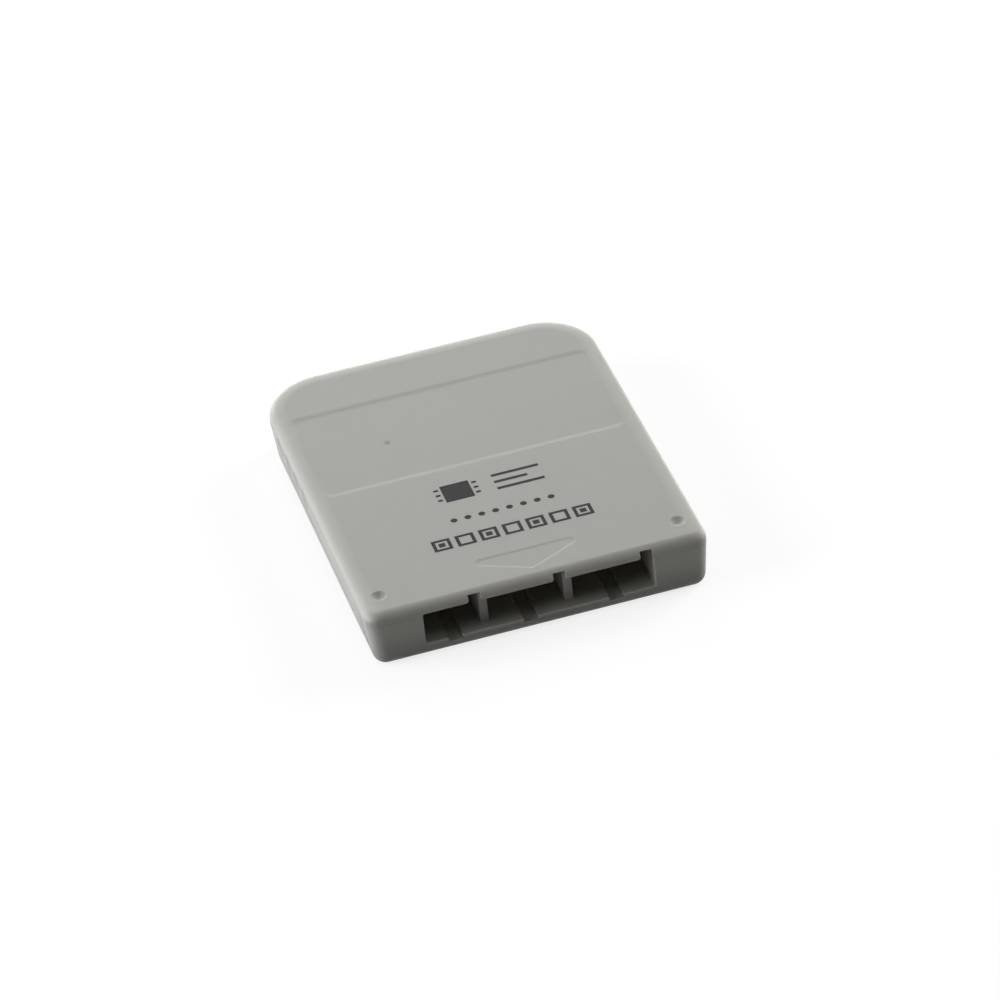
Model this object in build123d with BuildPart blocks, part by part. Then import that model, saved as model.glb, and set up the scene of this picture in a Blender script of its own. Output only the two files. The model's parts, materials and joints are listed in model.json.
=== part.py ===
from build123d import *
import os

os.makedirs("parts", exist_ok=True)

# Console memory card, in millimetres. It lies on its back with the label side up (+Z), the connector
# end faces -Y and the grip end +Y. The origin is the middle of its underside.

# Overall size
width = 42.5
length = 54.0
thickness = 7.6
back_corner_radius = 7.55
front_corner_radius = 1.6
top_edge_radius = 1.05
bottom_edge_radius = 1.65
lower_draft = 6.0

# Walls and the parting line between the two shells
side_wall = 1.5
top_wall = 0.75
floor_wall = 1.2
skirt_height = 1.6
lip_height = 1.3
lip_depth = 2.4
seam_chamfer = 0.04

# Connector mouth: three chambers from left to right, parted by two ribs
mouth_left = -14.4
chamber_widths = [7.15, 9.5, 9.8]
rib_thickness = 1.03
rib_setback = 1.7
chamber_depth = 10.5
chamber_wall = 1.0
connector_floor = 1.95
mouth_corner_radius = 0.3
mouth_edge_radius = 0.25
notch_width = 1.5
notch_roof = 0.35
notch_corner_radius = 0.35
groove_width = 1.8
groove_depth = 0.5

# Circuit board and its gold contacts
board_thickness = 0.8
board_length = 39.0
board_gap = 0.2
board_corner_radius = 0.8
contact_counts = [2, 3, 3]
contact_pitch = 3.1
contact_width = 1.9
contact_length = 6.0
contact_thickness = 0.06
contact_setback = 0.6

# Locating pins of the upper shell and their sockets in the lower one
pin_radius = 0.9
pin_gap = 0.15
pin_length = 3.0
socket_wall = 0.95
pin_spread = 32.4
pin_front = 14.5
pin_back = 38.0

# Label recess, arrow and detent dimples in the top face. The arrow's size is that of its sharp triangle.
recess_width = 38.9
recess_length = 18.5
recess_front = 26.3
recess_depth = 0.08
recess_draft = 82.5
recess_corner_radius = 1.4
recess_edge_radius = 4.0
arrow_width = 17.6
arrow_length = 4.5
arrow_tip = 1.8
arrow_depth = 0.055
arrow_draft = 82.0
arrow_corner_radius = 0.8
dimple_spread = 37.2
dimple_front = 4.0
dimple_diameter = 2.0
dimple_depth = 0.36

# Grip scallops: a row of shallow round hollows along both sides
scallop_count = 4
scallop_pitch = 3.97
scallop_width = 3.7
scallop_depth = 0.4
scallop_front = 30.6
scallop_height = 4.95

# Side catches: wedge-shaped pockets in both sides near the connector end
catch_front = 2.2
catch_length = 4.8
catch_bottom = 1.8
catch_height = 4.0
catch_depth = 0.75

# Chips and small parts under the board: size across, along and in height, then the place from the front
chip_lead_width = 0.4
chip_lead_reach = 0.9
chip_lead_thickness = 0.15
chip_lead_pitch = 1.0
chip_standoff = 0.1
controller_size = (9.0, 9.0, 1.6)
controller_place = (-6.2, 23.0)
controller_leads = 7
memory_size = (7.6, 11.0, 1.6)
memory_place = (6.6, 23.5)
memory_leads = 9
small_parts = {
    "resonator": ((5.0, 2.2, 1.6), (-6.2, 33.0)),
    "capacitor_1": ((2.0, 1.2, 0.9), (-11.0, 14.4)),
    "capacitor_2": ((2.0, 1.2, 0.9), (0.4, 14.4)),
    "capacitor_3": ((2.0, 1.2, 0.9), (12.6, 33.0)),
    "resistor_1": ((1.6, 0.8, 0.45), (-4.6, 14.4)),
    "resistor_2": ((1.6, 0.8, 0.45), (4.6, 14.4)),
    "resistor_3": ((1.6, 0.8, 0.45), (8.6, 33.0)),
}

# Worked-out places
front = -length / 2
back = length / 2
seam = thickness - skirt_height
lip_bottom = thickness - lip_height
board_top = thickness - top_wall
board_bottom = board_top - board_thickness
board_front = front + lip_depth + board_gap
cavity_half_width = width / 2 - side_wall
chamber_lefts = [mouth_left + sum(chamber_widths[:i]) + i * rib_thickness for i in range(len(chamber_widths))]
mouth_right = chamber_lefts[-1] + chamber_widths[-1]
chamber_back = front + chamber_depth
pin_places = [(side * pin_spread / 2, front + reach) for side in (-1, 1) for reach in (pin_front, pin_back)]
socket_radius = pin_radius + pin_gap + socket_wall
dimple_sphere_radius = (dimple_diameter**2 / 4 + dimple_depth**2) / (2 * dimple_depth)
scallop_radius = (scallop_width**2 / 4 + scallop_depth**2) / (2 * scallop_depth)
scallop_reach = width / 2 - scallop_depth + scallop_radius
scallop_rows = [front + scallop_front + i * scallop_pitch for i in range(scallop_count)]
scallop_centres = [(side * scallop_reach, row, scallop_height) for side in (-1, 1) for row in scallop_rows]
beyond = width


def card_outline(plane, run_on=0.0):
    """Outer outline with large round corners at the grip end. It can run on past the connector end."""
    with BuildSketch(plane) as outline:
        with Locations((0, -run_on / 2)):
            Rectangle(width, length + run_on)
        fillet(outline.vertices().group_by(Axis.Y)[-1], back_corner_radius)
    return outline.sketch


def cavity_outline(plane):
    """Inner outline of the walls: the lip's depth at the connector end, the side wall elsewhere."""
    cavity_front = front + lip_depth
    cavity_back = back - side_wall
    with BuildSketch(plane) as outline:
        with Locations((0, (cavity_front + cavity_back) / 2)):
            Rectangle(2 * cavity_half_width, cavity_back - cavity_front)
        fillet(outline.vertices().group_by(Axis.Y)[-1], back_corner_radius - side_wall)
    return outline.sketch


def block(plane, left, right, near, far):
    """Rectangle given by its sides, as the profile of a wall or a pocket."""
    with BuildSketch(plane) as profile:
        with Locations(((left + right) / 2, (near + far) / 2)):
            Rectangle(right - left, far - near)
    return profile.sketch


def pin_circles(plane, radius):
    """Circles about the four pin places."""
    with BuildSketch(plane) as circles:
        with Locations(*pin_places):
            Circle(radius)
    return circles.sketch


# Upper shell: top wall with a short skirt down to the parting line
with BuildPart() as upper_shell:
    extrude(card_outline(Plane.XY.offset(seam)), amount=skirt_height)
    fillet(upper_shell.edges().filter_by(Axis.Z).group_by(Axis.Y)[0], front_corner_radius)
    fillet(upper_shell.faces().sort_by(Axis.Z)[-1].edges(), top_edge_radius)
    chamfer(upper_shell.faces().sort_by(Axis.Z)[0].edges(), seam_chamfer)
    extrude(cavity_outline(Plane.XY.offset(seam)), amount=board_top - seam, mode=Mode.SUBTRACT)
    with Locations(*scallop_centres):
        Sphere(scallop_radius, mode=Mode.SUBTRACT)

    # Pins that pass through the board into the sockets
    extrude(pin_circles(Plane.XY.offset(board_top), pin_radius), amount=-(board_thickness + pin_length))

    # Lip over the mouth, with a key notch at the right end of each chamber and a rounded corner beside it
    mouth_top = block(Plane.XY.offset(seam), mouth_left, mouth_right, front - lip_depth, front + lip_depth)
    extrude(mouth_top, amount=lip_bottom - seam, mode=Mode.SUBTRACT)
    for left, chamber_width in zip(chamber_lefts, chamber_widths):
        right = left + chamber_width
        notch_left = right - notch_width
        notch = block(Plane.XY.offset(lip_bottom), notch_left, right, front - lip_depth, front + lip_depth)
        extrude(notch, amount=lip_height - notch_roof, mode=Mode.SUBTRACT)
        lip_corner = (notch_left, front + lip_depth / 2, lip_bottom)
        fillet(upper_shell.edges().filter_by(Axis.Y).sort_by_distance(lip_corner)[0], notch_corner_radius)

    # Label recess, with gently sloping sides that run softly into its floor and the top face
    recess_middle = front + recess_front + recess_length / 2
    with BuildSketch(Plane.XY.offset(thickness)):
        with Locations((0, recess_middle)):
            RectangleRounded(recess_width, recess_length, recess_corner_radius)
    extrude(amount=-recess_depth, taper=recess_draft, mode=Mode.SUBTRACT)
    floor_middle = (0, recess_middle, thickness - recess_depth)
    recess_floor = upper_shell.faces().filter_by(Plane.XY).sort_by_distance(floor_middle)[0]
    fillet(recess_floor.edges(), recess_edge_radius)
    fillet(upper_shell.faces().sort_by(Axis.Z)[-1].inner_wires()[0].edges(), recess_edge_radius)

    # Arrow that points to the connector end
    with BuildSketch(Plane.XY.offset(thickness)) as arrow:
        base = front + arrow_tip + arrow_length
        Polygon((-arrow_width / 2, base), (0, front + arrow_tip), (arrow_width / 2, base), align=None)
        fillet(arrow.vertices(), arrow_corner_radius)
    extrude(amount=-arrow_depth, taper=arrow_draft, mode=Mode.SUBTRACT)

    # Detent dimples
    dimple_centre = thickness - dimple_depth + dimple_sphere_radius
    with Locations(*[(side * dimple_spread / 2, front + dimple_front, dimple_centre) for side in (-1, 1)]):
        Sphere(dimple_sphere_radius, mode=Mode.SUBTRACT)
upper_shell.part.label = "upper_shell"
export_step(upper_shell.part, "parts/upper_shell.step")

# Lower shell: tub with the connector chambers, the board's sockets and the side catches
with BuildPart() as lower_shell:
    # The sides and the grip end draw in towards the underside, and the connector end is cut off square
    extrude(card_outline(Plane.XY.offset(seam), run_on=beyond), amount=-seam, taper=lower_draft)
    fillet(lower_shell.faces().sort_by(Axis.Z)[0].edges().sort_by(Axis.Y)[1:], bottom_edge_radius)
    extrude(block(Plane.XY, -beyond, beyond, front - 2 * beyond, front), amount=seam, mode=Mode.SUBTRACT)
    fillet(lower_shell.faces().sort_by(Axis.Y)[0].edges().sort_by(Axis.Z)[:-1], front_corner_radius)
    extrude(cavity_outline(Plane.XY.offset(floor_wall)), amount=seam - floor_wall, mode=Mode.SUBTRACT)
    with Locations(*scallop_centres):
        Sphere(scallop_radius, mode=Mode.SUBTRACT)

    # Block around the chambers, up to the underside of the board
    block_left = mouth_left - chamber_wall
    block_right = mouth_right + chamber_wall
    block_back = chamber_back + chamber_wall
    chamber_block = block(Plane.XY.offset(floor_wall), block_left, block_right, front + lip_depth, block_back)
    extrude(chamber_block, amount=board_bottom - floor_wall)

    # Mouth in front of the ribs, with rounded lower corners and a rounded edge all the way round
    with BuildSketch(Plane.XZ.offset(-front)) as mouth:
        with Locations(((mouth_left + mouth_right) / 2, (connector_floor + thickness) / 2)):
            Rectangle(mouth_right - mouth_left, thickness - connector_floor)
        fillet(mouth.vertices().group_by(Axis.Y)[0], mouth_corner_radius)
    extrude(amount=-rib_setback, mode=Mode.SUBTRACT)
    sill = (0, front, connector_floor)
    fillet(lower_shell.edges().filter_by(Axis.X).sort_by_distance(sill)[0], mouth_edge_radius)

    # Chambers between the ribs, with a groove down the middle of each floor
    floor = Plane.XY.offset(connector_floor)
    for left, chamber_width in zip(chamber_lefts, chamber_widths):
        middle = left + chamber_width / 2
        chamber = block(floor, left, left + chamber_width, front + rib_setback, chamber_back)
        extrude(chamber, amount=seam, mode=Mode.SUBTRACT)
        groove_left = middle - groove_width / 2
        groove = block(floor, groove_left, groove_left + groove_width, front - lip_depth, chamber_back)
        extrude(groove, amount=-groove_depth, mode=Mode.SUBTRACT)

    # Sockets that carry the board and take the pins
    extrude(pin_circles(Plane.XY.offset(floor_wall), socket_radius), amount=board_bottom - floor_wall)
    bores = pin_circles(Plane.XY.offset(board_bottom), pin_radius + pin_gap)
    extrude(bores, amount=-(pin_length + pin_gap), mode=Mode.SUBTRACT)

    # Side catches, deepest towards the connector end
    for side in (-1, 1):
        near = front + catch_front
        far = near + catch_length
        with BuildSketch(Plane.XY.offset(catch_bottom)):
            Polygon(
                (side * (width / 2 - catch_depth), near),
                (side * beyond, near),
                (side * beyond, far),
                (side * width / 2, far),
                align=None,
            )
        extrude(amount=catch_height, mode=Mode.SUBTRACT)
lower_shell.part.label = "lower_shell"
export_step(lower_shell.part, "parts/lower_shell.step")

# Circuit board, with holes for the pins
with BuildPart() as circuit_board:
    half_width = cavity_half_width - board_gap
    underside = Plane.XY.offset(board_bottom)
    board = block(underside, -half_width, half_width, board_front, board_front + board_length)
    extrude(board, amount=board_thickness)
    extrude(pin_circles(underside, pin_radius + pin_gap), amount=board_thickness, mode=Mode.SUBTRACT)
    fillet(circuit_board.edges().filter_by(Axis.Z).group_by(Axis.Y)[0], board_corner_radius)
circuit_board.part.label = "circuit_board"
export_step(circuit_board.part, "parts/circuit_board.step")

# Gold contacts on the underside of the board, grouped by chamber
contact_places = []
for left, chamber_width, count in zip(chamber_lefts, chamber_widths, contact_counts):
    first = left + chamber_width / 2 - (count - 1) * contact_pitch / 2
    contact_places += [first + i * contact_pitch for i in range(count)]
for number, place in enumerate(contact_places, start=1):
    near = board_front + contact_setback
    with BuildPart() as contact:
        with BuildSketch(Plane.XY.offset(board_bottom)):
            with Locations((place, near + contact_length / 2)):
                RectangleRounded(contact_width, contact_length, contact_width / 4)
        extrude(amount=-contact_thickness)
    contact.part.label = f"contact_{number}"
    export_step(contact.part, f"parts/contact_{number}.step")


def make_chip(name, size, place, leads):
    """Packaged chip hung under the board on two rows of bent leads."""
    across, along, height = size
    centre_x = place[0]
    centre_y = front + place[1]
    body_top = board_bottom - chip_standoff
    knee = body_top - height / 2
    with BuildPart() as chip:
        left = centre_x - across / 2
        near = centre_y - along / 2
        extrude(block(Plane.XY.offset(body_top), left, left + across, near, near + along), amount=-height)
        for side in (-1, 1):
            inner = centre_x + side * across / 2
            outer = inner + side * chip_lead_reach
            shank = inner + side * chip_lead_reach / 2
            for i in range(leads):
                lead_y = centre_y + (i - (leads - 1) / 2) * chip_lead_pitch
                with BuildSketch(Plane(origin=(0, lead_y, 0), x_dir=(1, 0, 0), z_dir=(0, -1, 0))):
                    Polygon(
                        (inner - side * chip_lead_thickness, knee),
                        (shank, knee),
                        (shank, board_bottom - chip_lead_thickness),
                        (outer, board_bottom - chip_lead_thickness),
                        (outer, board_bottom),
                        (shank - side * chip_lead_thickness, board_bottom),
                        (shank - side * chip_lead_thickness, knee + chip_lead_thickness),
                        (inner - side * chip_lead_thickness, knee + chip_lead_thickness),
                        align=None,
                    )
                extrude(amount=chip_lead_width / 2, both=True)
    chip.part.label = name
    export_step(chip.part, f"parts/{name}.step")


make_chip("controller_chip", controller_size, controller_place, controller_leads)
make_chip("memory_chip", memory_size, memory_place, memory_leads)

# Small parts soldered flat under the board
for name, (size, place) in small_parts.items():
    across, along, height = size
    with BuildPart() as small_part:
        with BuildSketch(Plane.XY.offset(board_bottom)):
            with Locations((place[0], front + place[1])):
                Rectangle(across, along)
        extrude(amount=-height)
        chamfer(small_part.faces().sort_by(Axis.Z)[0].edges(), height / 6)
    small_part.part.label = name
    export_step(small_part.part, f"parts/{name}.step")
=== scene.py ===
# %% [markdown]
# # A grey memory card on a white table
# The card is two moulded shells around a small circuit board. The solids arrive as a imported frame, at their real
# size in metres, and this lesson dresses them: plastic, print, gold, laminate, light and camera. Nothing in the
# frame is moved or reshaped, because the same solids are used for collision.

# %% Load the frame
import json
import math
import bpy
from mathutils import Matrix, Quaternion, Vector


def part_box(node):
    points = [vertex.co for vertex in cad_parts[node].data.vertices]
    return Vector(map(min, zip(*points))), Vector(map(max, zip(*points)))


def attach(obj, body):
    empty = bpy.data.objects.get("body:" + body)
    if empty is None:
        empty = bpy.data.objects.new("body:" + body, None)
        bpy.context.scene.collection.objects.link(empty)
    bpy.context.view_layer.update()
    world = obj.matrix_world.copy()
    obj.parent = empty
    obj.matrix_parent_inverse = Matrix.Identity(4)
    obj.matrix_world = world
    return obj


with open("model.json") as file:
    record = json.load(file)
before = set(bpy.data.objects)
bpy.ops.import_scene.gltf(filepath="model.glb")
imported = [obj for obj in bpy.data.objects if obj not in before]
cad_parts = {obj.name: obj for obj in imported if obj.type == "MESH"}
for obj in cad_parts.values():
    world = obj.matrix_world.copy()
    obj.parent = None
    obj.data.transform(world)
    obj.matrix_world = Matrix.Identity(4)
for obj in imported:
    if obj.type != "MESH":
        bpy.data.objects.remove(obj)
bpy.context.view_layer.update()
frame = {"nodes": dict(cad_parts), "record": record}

nodes = frame["nodes"]
scene = bpy.context.scene
MM = 0.001

# %% [markdown]
# ## Landmarks
# Everything below is placed from a few landmarks: the top face, the two ends, the sides and the round corners of
# the grip end. All but the corners' radius come from the upper shell's own box, so the dressing follows the solids.

# %% Landmarks from the shells
shell_low, shell_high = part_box("upper_shell")
top_z = shell_high.z
front_y = shell_low.y
half_width = shell_high.x
grip_corner = 7.55 * MM
back_y = shell_high.y
print("top face at", round(top_z / MM, 2), "mm, connector end at", round(front_y / MM, 2), "mm")

# %% [markdown]
# ## Small helpers for node materials
# A moulded part is never one flat colour: the resin has faint clouds and the tool leaves a fine grain, and the
# lighter edges are a painted highlight. Node trees describe that without pictures. Three helpers keep each finish
# short: one starts a material, one adds a node with its settings, and one joins two sockets.

# %% Node helpers
def new_finish(name):
    """An empty node material and its shader, ready to be wired."""
    material = bpy.data.materials.new(name)
    material.use_nodes = True
    shader = material.node_tree.nodes["Principled BSDF"]
    return material, material.node_tree, shader


def add_node(tree, kind, inputs=None, **settings):
    """A node of that kind with its settings and its unlinked inputs."""
    node = tree.nodes.new(kind)
    for key, value in settings.items():
        setattr(node, key, value)
    for key, value in (inputs or {}).items():
        node.inputs[key].default_value = value
    return node


def join(tree, source, target):
    tree.links.new(source, target)


def grey(level, warmth=0.0):
    """A linear grey. Warmth takes away blue and adds an eighth as much red."""
    return (level * (1 + warmth / 8), level, level * (1 - warmth), 1.0)


def object_place(tree):
    """Coordinates on the object itself, in metres, so a finish stays put from every side."""
    return add_node(tree, "ShaderNodeTexCoord").outputs["Object"]


print("helpers ready")

# %% [markdown]
# ## The grey plastic
# The shells are moulded from one warm grey resin. Close up the surface is satin, with a grain of about a fifth of a
# millimetre that the steel tool left, and soft clouds a few millimetres across. A bevel in the shader rounds the
# knife-sharp model edges by a tenth of a millimetre, as every moulded edge is rounded. The resin lets a little light
# in, so thin edges look soft. In the photograph the rim along the sides and the grip end is lighter than the top,
# and the lower part of the card is darker. Both are painted into the base colour: a painted highlight that follows
# the distance from the rim, and painted shade that follows the height. One dark fleck is moulded into the label
# recess, and it stays.

# %% Plastic values
plastic_level = 0.305
plastic_warmth = 0.075
cloud_size = 2.2 * MM
grain_size = 0.16 * MM
grain_depth = 0.02 * MM
grain_strength = 0.12
cloud_contrast = 0.015
satin_low, satin_high = 0.46, 0.58
plastic_shine = 0.35
edge_round = 0.12 * MM
# Painted highlight: these values make the rim along the sides and the grip end lighter in the base colour.
rim_width = 2.3 * MM
rim_fade_start = 0.6 * MM
rim_fade_end = 1.2 * MM
rim_highlight = 1.32
grip_end_highlight = 1.95
# Painted shade: below this height the base colour darkens towards the bottom of the card.
shade_height = 4.5 * MM
underside_shade = 0.62
glow_depth = 0.5 * MM
glow_reach = (1.0, 0.92, 0.8)
fleck_place = Vector((-9.17, 8.03, top_z / MM - 0.08)) * MM
fleck_radius = 0.6 * MM
fleck_core = 0.12 * MM
fleck_tone = 0.6
fleck_warmth = 0.05


# %% Distance from the rim
# This distance places the painted highlight on the rim.
def rim_distance(tree, place):
    """How far a point of the top lies inside the sides and the round grip end. Below the rim it reads as far."""
    apart = add_node(tree, "ShaderNodeSeparateXYZ")
    join(tree, place, apart.inputs[0])
    across = add_node(tree, "ShaderNodeMath", operation="ABSOLUTE")
    join(tree, apart.outputs["X"], across.inputs[0])
    corner_x = add_node(tree, "ShaderNodeMath", {1: half_width - grip_corner}, operation="SUBTRACT")
    join(tree, across.outputs[0], corner_x.inputs[0])
    corner_y = add_node(tree, "ShaderNodeMath", {1: back_y - grip_corner}, operation="SUBTRACT")
    join(tree, apart.outputs["Y"], corner_y.inputs[0])
    reach = add_node(tree, "ShaderNodeCombineXYZ")
    for offset, socket in ((corner_x, "X"), (corner_y, "Y")):
        outward = add_node(tree, "ShaderNodeMath", {1: 0.0}, operation="MAXIMUM")
        join(tree, offset.outputs[0], outward.inputs[0])
        join(tree, outward.outputs[0], reach.inputs[socket])
    length = add_node(tree, "ShaderNodeVectorMath", operation="LENGTH")
    join(tree, reach.outputs[0], length.inputs[0])
    inside = add_node(tree, "ShaderNodeMath", {0: grip_corner}, operation="SUBTRACT")
    join(tree, length.outputs["Value"], inside.inputs[1])
    below = add_node(tree, "ShaderNodeMapRange", {"From Min": top_z - rim_fade_start})
    below.inputs["From Max"].default_value = top_z - rim_fade_end
    below.inputs["To Max"].default_value = rim_width
    join(tree, apart.outputs["Z"], below.inputs["Value"])
    total = add_node(tree, "ShaderNodeMath", operation="ADD")
    join(tree, inside.outputs[0], total.inputs[0])
    join(tree, below.outputs["Result"], total.inputs[1])
    return total.outputs[0]


# %% Plastic finish
def make_grey_plastic():
    material, tree, shader = new_finish("grey_plastic_moulded")
    place = object_place(tree)

    clouds = add_node(tree, "ShaderNodeTexNoise", {"Scale": 1 / cloud_size, "Detail": 4.0, "Roughness": 0.6})
    join(tree, place, clouds.inputs["Vector"])
    resin = add_node(tree, "ShaderNodeValToRGB")
    resin.color_ramp.elements[0].position = 0.3
    resin.color_ramp.elements[0].color = grey(plastic_level * (1 - cloud_contrast), plastic_warmth)
    resin.color_ramp.elements[1].position = 0.7
    resin.color_ramp.elements[1].color = grey(plastic_level * (1 + cloud_contrast), plastic_warmth)
    join(tree, clouds.outputs["Fac"], resin.inputs["Fac"])

    away = add_node(tree, "ShaderNodeVectorMath", {1: fleck_place}, operation="DISTANCE")
    join(tree, place, away.inputs[0])
    fleck = add_node(tree, "ShaderNodeMapRange", {"From Min": fleck_core, "From Max": fleck_radius})
    join(tree, away.outputs["Value"], fleck.inputs["Value"])
    fleck_grey = grey(plastic_level * fleck_tone, fleck_warmth)
    marked = add_node(tree, "ShaderNodeMix", {6: fleck_grey}, data_type="RGBA")
    join(tree, fleck.outputs["Result"], marked.inputs["Factor"])
    join(tree, resin.outputs["Color"], marked.inputs[7])
    # Painted highlight: the base colour is made lighter near the rim, most of all at the grip end.
    painted_highlight = add_node(tree, "ShaderNodeMapRange", {"From Min": rim_width, "From Max": 0.0})
    painted_highlight.inputs["To Min"].default_value = 1.0
    highlight_strength = add_node(tree, "ShaderNodeMapRange", {"From Min": back_y - grip_corner})
    highlight_strength.inputs["From Max"].default_value = back_y - rim_width
    highlight_strength.inputs["To Min"].default_value = rim_highlight
    highlight_strength.inputs["To Max"].default_value = grip_end_highlight
    along = add_node(tree, "ShaderNodeSeparateXYZ")
    join(tree, place, along.inputs[0])
    join(tree, along.outputs["Y"], highlight_strength.inputs["Value"])
    join(tree, highlight_strength.outputs["Result"], painted_highlight.inputs["To Max"])
    join(tree, rim_distance(tree, place), painted_highlight.inputs["Value"])
    # Painted shade: the base colour darkens towards the bottom of the card.
    lower_shade = add_node(tree, "ShaderNodeMapRange", {"From Max": shade_height, "To Min": underside_shade})
    join(tree, along.outputs["Z"], lower_shade.inputs["Value"])
    # The painted highlight and the painted shade together multiply the resin colour.
    painted_light_and_shade = add_node(tree, "ShaderNodeMath", operation="MULTIPLY")
    join(tree, painted_highlight.outputs["Result"], painted_light_and_shade.inputs[0])
    join(tree, lower_shade.outputs["Result"], painted_light_and_shade.inputs[1])
    colour_with_painted_light = add_node(tree, "ShaderNodeVectorMath", operation="SCALE")
    join(tree, marked.outputs[2], colour_with_painted_light.inputs[0])
    join(tree, painted_light_and_shade.outputs[0], colour_with_painted_light.inputs["Scale"])
    join(tree, colour_with_painted_light.outputs[0], shader.inputs["Base Color"])
    shader.inputs["Specular IOR Level"].default_value = plastic_shine
    shader.inputs["Subsurface Weight"].default_value = 1.0
    shader.inputs["Subsurface Radius"].default_value = glow_reach
    shader.inputs["Subsurface Scale"].default_value = glow_depth

    grain = add_node(tree, "ShaderNodeTexNoise", {"Scale": 1 / grain_size, "Detail": 2.0, "Roughness": 0.5})
    join(tree, place, grain.inputs["Vector"])
    satin = add_node(tree, "ShaderNodeMapRange", {"To Min": satin_low, "To Max": satin_high})
    join(tree, clouds.outputs["Fac"], satin.inputs["Value"])
    join(tree, satin.outputs["Result"], shader.inputs["Roughness"])

    rounded = add_node(tree, "ShaderNodeBevel", {"Radius": edge_round}, samples=6)
    bump = add_node(tree, "ShaderNodeBump", {"Strength": grain_strength, "Distance": grain_depth})
    join(tree, grain.outputs["Fac"], bump.inputs["Height"])
    join(tree, rounded.outputs["Normal"], bump.inputs["Normal"])
    join(tree, bump.outputs["Normal"], shader.inputs["Normal"])
    return material


grey_plastic = make_grey_plastic()
print("made", grey_plastic.name)

# %% [markdown]
# ## Board, gold, resin and ceramic
# Inside the mouth a green lacquered board forms the ceiling, with plated contacts on it. They show only from below.
# Each finish wanders between two close colours at its own scale: cloudy lacquer on the board, a finer plating on the
# contacts, matt moulding resin on the chips.

# %% Inner finishes
def make_speckled(name, low, high, size, roughness, metallic=0.0, bump_depth=0.01 * MM):
    """A finish that wanders between two colours, with matching bump and gloss."""
    material, tree, shader = new_finish(name)
    place = object_place(tree)
    noise = add_node(tree, "ShaderNodeTexNoise", {"Scale": 1 / size, "Detail": 5.0})
    join(tree, place, noise.inputs["Vector"])
    ramp = add_node(tree, "ShaderNodeValToRGB")
    ramp.color_ramp.elements[0].position = 0.35
    ramp.color_ramp.elements[0].color = low
    ramp.color_ramp.elements[1].position = 0.65
    ramp.color_ramp.elements[1].color = high
    join(tree, noise.outputs["Fac"], ramp.inputs["Fac"])
    join(tree, ramp.outputs["Color"], shader.inputs["Base Color"])
    gloss = add_node(tree, "ShaderNodeMapRange", {"To Min": roughness * 0.85, "To Max": roughness * 1.15})
    join(tree, noise.outputs["Fac"], gloss.inputs["Value"])
    join(tree, gloss.outputs["Result"], shader.inputs["Roughness"])
    bump = add_node(tree, "ShaderNodeBump", {"Strength": 0.3, "Distance": bump_depth})
    join(tree, noise.outputs["Fac"], bump.inputs["Height"])
    join(tree, bump.outputs["Normal"], shader.inputs["Normal"])
    shader.inputs["Metallic"].default_value = metallic
    return material


board_green = make_speckled("board_lacquer", (0.008, 0.055, 0.02, 1), (0.015, 0.085, 0.03, 1), 0.6 * MM, 0.3)
contact_gold = make_speckled("contact_gold", (0.72, 0.45, 0.14, 1), (0.83, 0.55, 0.2, 1), 0.3 * MM, 0.25, 1.0)
chip_resin = make_speckled("chip_resin", grey(0.012), grey(0.022), 0.2 * MM, 0.6)
capacitor_tan = make_speckled("capacitor_ceramic", (0.28, 0.17, 0.09, 1), (0.36, 0.23, 0.12, 1), 0.15 * MM, 0.55)
resonator_steel = make_speckled("resonator_can", grey(0.5), grey(0.6), 0.4 * MM, 0.32, 1.0)
print("made five inner finishes")

# %% Dress the pieces by their record slot
finish_of_slot = {
    "grey_plastic": grey_plastic,
    "board_laminate": board_green,
    "contact_gold": contact_gold,
    "chip_resin": chip_resin,
    "capacitor_ceramic": capacitor_tan,
    "resonator_can": resonator_steel,
}
for subpart in frame["record"]["subparts"]:
    piece = nodes[subpart["node"]]
    piece.data.materials.clear()
    piece.data.materials.append(finish_of_slot[subpart["material_slot"]])

# %% [markdown]
# ## The print
# Between the recess and the arrow the card carries a thin dark print. Pad printing leaves a film of ink about a
# hundredth of a millimetre thick, so it is modelled as flat slabs that stand that little above the face. The motif
# is a plain one: a row of seven storage blocks, a dotted line, a chip with its pins and three short bars.

# %% Ink finish
ink_film = 0.008 * MM
ink_sunk = 0.010 * MM
ink_shine = 0.2
print_ink = make_speckled("print_ink", grey(0.014, -0.01), grey(0.022, -0.01), 0.25 * MM, 0.7)
print_ink.node_tree.nodes["Principled BSDF"].inputs["Specular IOR Level"].default_value = ink_shine


# %% Print shapes
def bar(left, right, near, far):
    """A printed rectangle, in millimetres across and behind the connector end."""
    return [(left, near), (right, near), (right, far), (left, far)]


def disc(centre_x, centre_y, radius, corners=28):
    turns = [2 * math.pi * i / corners for i in range(corners)]
    return [(centre_x + radius * math.cos(t), centre_y + radius * math.sin(t)) for t in turns]


def frame_bars(centre_x, centre_y, side, stroke):
    """Four bars that make a square outline without overlapping."""
    out = side / 2
    inner = out - stroke
    x, y = centre_x, centre_y
    return [
        bar(x - out, x + out, y - out, y - inner),
        bar(x - out, x + out, y + inner, y + out),
        bar(x - out, x - inner, y - inner, y + inner),
        bar(x + inner, x + out, y - inner, y + inner),
    ]


def slabs_from(outlines, name):
    """One mesh of thin slabs, each from a flat outline."""
    low = top_z - ink_sunk
    high = top_z + ink_film
    points = []
    faces = []
    for outline in outlines:
        start = len(points)
        count = len(outline)
        ring = [(x * MM, front_y + y * MM) for x, y in outline]
        points += [(x, y, low) for x, y in ring] + [(x, y, high) for x, y in ring]
        faces.append([start + i for i in reversed(range(count))])
        faces.append([start + count + i for i in range(count)])
        for i in range(count):
            j = (i + 1) % count
            faces.append([start + i, start + j, start + count + j, start + count + i])
    mesh = bpy.data.meshes.new(name)
    mesh.from_pydata(points, [], faces)
    piece = bpy.data.objects.new(name, mesh)
    scene.collection.objects.link(piece)
    return piece


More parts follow.
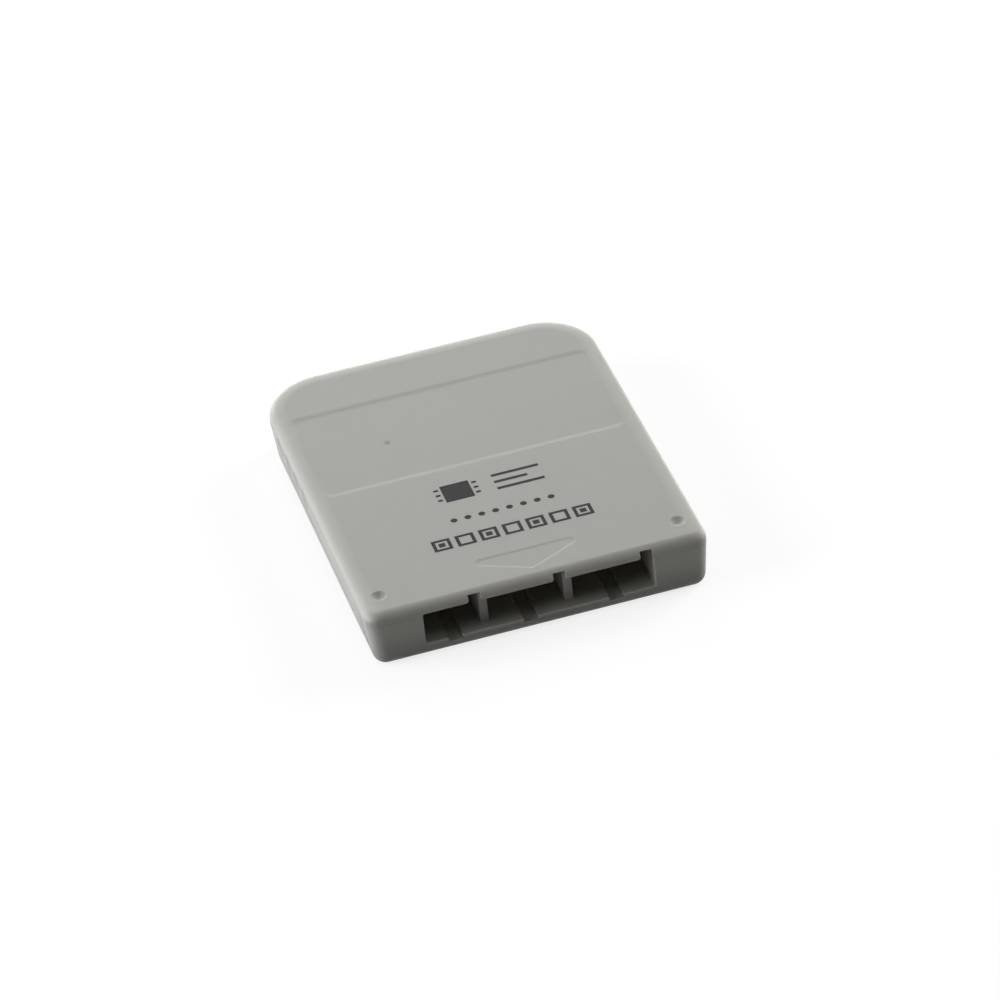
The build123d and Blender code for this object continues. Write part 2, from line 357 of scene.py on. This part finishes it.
# %% Print sizes in millimetres, with each row's place behind the connector end
block_count, block_pitch, block_row = 7, 2.95, 10.9
block_side, block_stroke, core_half = 2.3, 0.42, 0.4
dot_count, dot_pitch, dot_row, dot_radius = 8, 1.75, 15.3, 0.42
chip_left, chip_right, chip_near, chip_far = -5.9, -2.3, 19.3, 22.9
pin_rows, pin_gap, pin_length, pin_half = (20.0, 21.1, 22.2), 0.3, 0.6, 0.2
line_left, line_stroke = 0.6, 0.5
lines = ((6.6, 19.4), (4.8, 20.85), (6.6, 22.3))

# %% Print layout
print_outlines = []
for i in range(block_count):
    centre = (i - (block_count - 1) / 2) * block_pitch
    print_outlines += frame_bars(centre, block_row, block_side, block_stroke)
    if i % 2 == 0:
        left, right = centre - core_half, centre + core_half
        print_outlines.append(bar(left, right, block_row - core_half, block_row + core_half))
for i in range(dot_count):
    print_outlines.append(disc((i - (dot_count - 1) / 2) * dot_pitch, dot_row, dot_radius))
print_outlines.append(bar(chip_left, chip_right, chip_near, chip_far))
for row in pin_rows:
    for pin_left in (chip_left - pin_gap - pin_length, chip_right + pin_gap):
        print_outlines.append(bar(pin_left, pin_left + pin_length, row - pin_half, row + pin_half))
print_outlines += [bar(line_left, line_right, near, near + line_stroke) for line_right, near in lines]
top_print = slabs_from(print_outlines, "top_print")
top_print.data.materials.append(print_ink)
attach(top_print, "root")
print("printed", len(print_outlines), "shapes,", len(top_print.data.polygons), "faces")

# %% [markdown]
# ## Table and light
# The card lies on a plain white table inside a bright tent: three soft boxes stand low to the left, to the right and
# behind, and a weak one hangs above. So the rounded edges on three sides are brighter than the top, helped by a
# painted highlight in the plastic's colour, and the connector end falls into shade, deepened low down by painted
# shade. To the camera the table is white paper: a little of that is paint that shows the shadow, and the rest is a
# glow that only the camera, reflections and glass see. For the light that bounces onto the card the table is a plain
# light grey, which fills the connector end and leaves the deep of the mouth dark.

# %% White table
table_size = 4.0
table_paint = 0.22
table_glow = 0.80
table_bounce = 0.6


def make_table():
    bpy.ops.mesh.primitive_plane_add(size=table_size, location=(0, 0, 0))
    table = bpy.context.object
    table.name = "table"
    material, tree, shader = new_finish("table_white")
    tree.nodes.remove(shader)
    output = tree.nodes["Material Output"]
    rays = add_node(tree, "ShaderNodeLightPath")
    seen = add_node(tree, "ShaderNodeMath", operation="MAXIMUM")
    join(tree, rays.outputs["Is Camera Ray"], seen.inputs[0])
    join(tree, rays.outputs["Is Glossy Ray"], seen.inputs[1])
    shown = add_node(tree, "ShaderNodeMath", operation="MAXIMUM")
    join(tree, seen.outputs[0], shown.inputs[0])
    join(tree, rays.outputs["Is Transmission Ray"], shown.inputs[1])
    paint = add_node(tree, "ShaderNodeBsdfDiffuse", {"Color": grey(table_paint)})
    glow = add_node(tree, "ShaderNodeEmission", {"Color": grey(1.0), "Strength": table_glow})
    bright = add_node(tree, "ShaderNodeAddShader")
    join(tree, paint.outputs[0], bright.inputs[0])
    join(tree, glow.outputs[0], bright.inputs[1])
    dull = add_node(tree, "ShaderNodeBsdfDiffuse", {"Color": grey(table_bounce)})
    mixed = add_node(tree, "ShaderNodeMixShader")
    join(tree, shown.outputs[0], mixed.inputs[0])
    join(tree, dull.outputs[0], mixed.inputs[1])
    join(tree, bright.outputs[0], mixed.inputs[2])
    join(tree, mixed.outputs[0], output.inputs["Surface"])
    table.data.materials.append(material)
    return table


table = make_table()
print("table", table.dimensions[:])


# %% Lamps and sky
def add_lamp(name, toward, distance, size, irradiance, colour):
    """A square lamp that faces the card. irradiance is in units of a sheet of white paper that just reads white."""
    lamp_data = bpy.data.lights.new(name, "AREA")
    lamp_data.size = size
    lamp_data.energy = irradiance * math.pi**2 * distance**2
    lamp_data.color = colour
    lamp = bpy.data.objects.new(name, lamp_data)
    direction = Vector(toward).normalized()
    lamp.location = direction * distance
    lamp.rotation_euler = direction.to_track_quat("Z", "Y").to_euler()
    scene.collection.objects.link(lamp)
    return lamp


near_lamp, far_lamp = 0.6, 0.8
small_box, large_box = 0.40, 0.45
cool, white, warm = (0.97, 0.99, 1.03), (1.0, 1.0, 1.0), (1.0, 0.97, 0.93)
lamps = [
    add_lamp("left_box", (-0.94, 0.10, 0.33), near_lamp, small_box, 1.25, cool),
    add_lamp("right_box", (0.90, 0.25, 0.36), near_lamp, small_box, 1.05, white),
    add_lamp("back_box", (0.0, 0.95, 0.30), near_lamp, large_box, 0.50, white),
    add_lamp("front_box", (0.0, -0.30, 0.95), far_lamp, small_box, 0.15, warm),
]
sky_level = 0.10
world = bpy.data.worlds.new("studio_sky")
scene.world = world
world.use_nodes = True
sky = world.node_tree
background = sky.nodes["Background"]
background.inputs["Color"].default_value = (1.0, 1.0, 1.0, 1.0)
sky_rays = add_node(sky, "ShaderNodeLightPath")
sky_strength = add_node(sky, "ShaderNodeMapRange", {"To Min": sky_level, "To Max": 1.0})
sky_shown = add_node(sky, "ShaderNodeMath", operation="MAXIMUM")
join(sky, sky_rays.outputs["Is Camera Ray"], sky_shown.inputs[0])
join(sky, sky_rays.outputs["Is Glossy Ray"], sky_shown.inputs[1])
join(sky, sky_shown.outputs[0], sky_strength.inputs["Value"])
join(sky, sky_strength.outputs["Result"], background.inputs["Strength"])
print("lamps", [lamp.name for lamp in lamps], "sky", sky_level)

# %% [markdown]
# ## Camera
# The photograph was taken from above the connector end with a long lens, a little from the left and slightly
# tilted. The four edges of the card gave these values. A long lens far away keeps opposite edges nearly parallel.

# %% Camera
camera_azimuth = math.radians(-12.071)
camera_elevation = math.radians(34.463)
camera_roll = math.radians(7.099)
camera_distance = 681.35 * MM
camera_aim = Vector((1.357, -4.445, 3.8)) * MM
image_pixels = 1000
focal_pixels = 5582.1
sensor_width = 36.0


def place_camera():
    camera_data = bpy.data.cameras.new("photo_camera")
    camera_data.sensor_width = sensor_width
    camera_data.lens = focal_pixels / image_pixels * sensor_width
    camera_data.clip_start = 0.05
    camera = bpy.data.objects.new("photo_camera", camera_data)
    level = math.cos(camera_elevation)
    sideways = -math.sin(camera_azimuth) * level
    inward = math.cos(camera_azimuth) * level
    view = Vector((sideways, inward, -math.sin(camera_elevation)))
    camera.location = camera_aim - view * camera_distance
    turn = view.to_track_quat("-Z", "Y") @ Quaternion((0, 0, 1), -camera_roll)
    camera.rotation_euler = turn.to_euler()
    scene.collection.objects.link(camera)
    scene.camera = camera
    return camera


camera = place_camera()
print("camera at", [round(c, 4) for c in camera.location], "lens", round(camera.data.lens, 1), "mm")

# %% [markdown]
# ## View transform
# The view transform is the plain one, so colours come out as they are written. The dressing must not change the
# card's size.

# %% Finish
scene.view_settings.view_transform = "Standard"
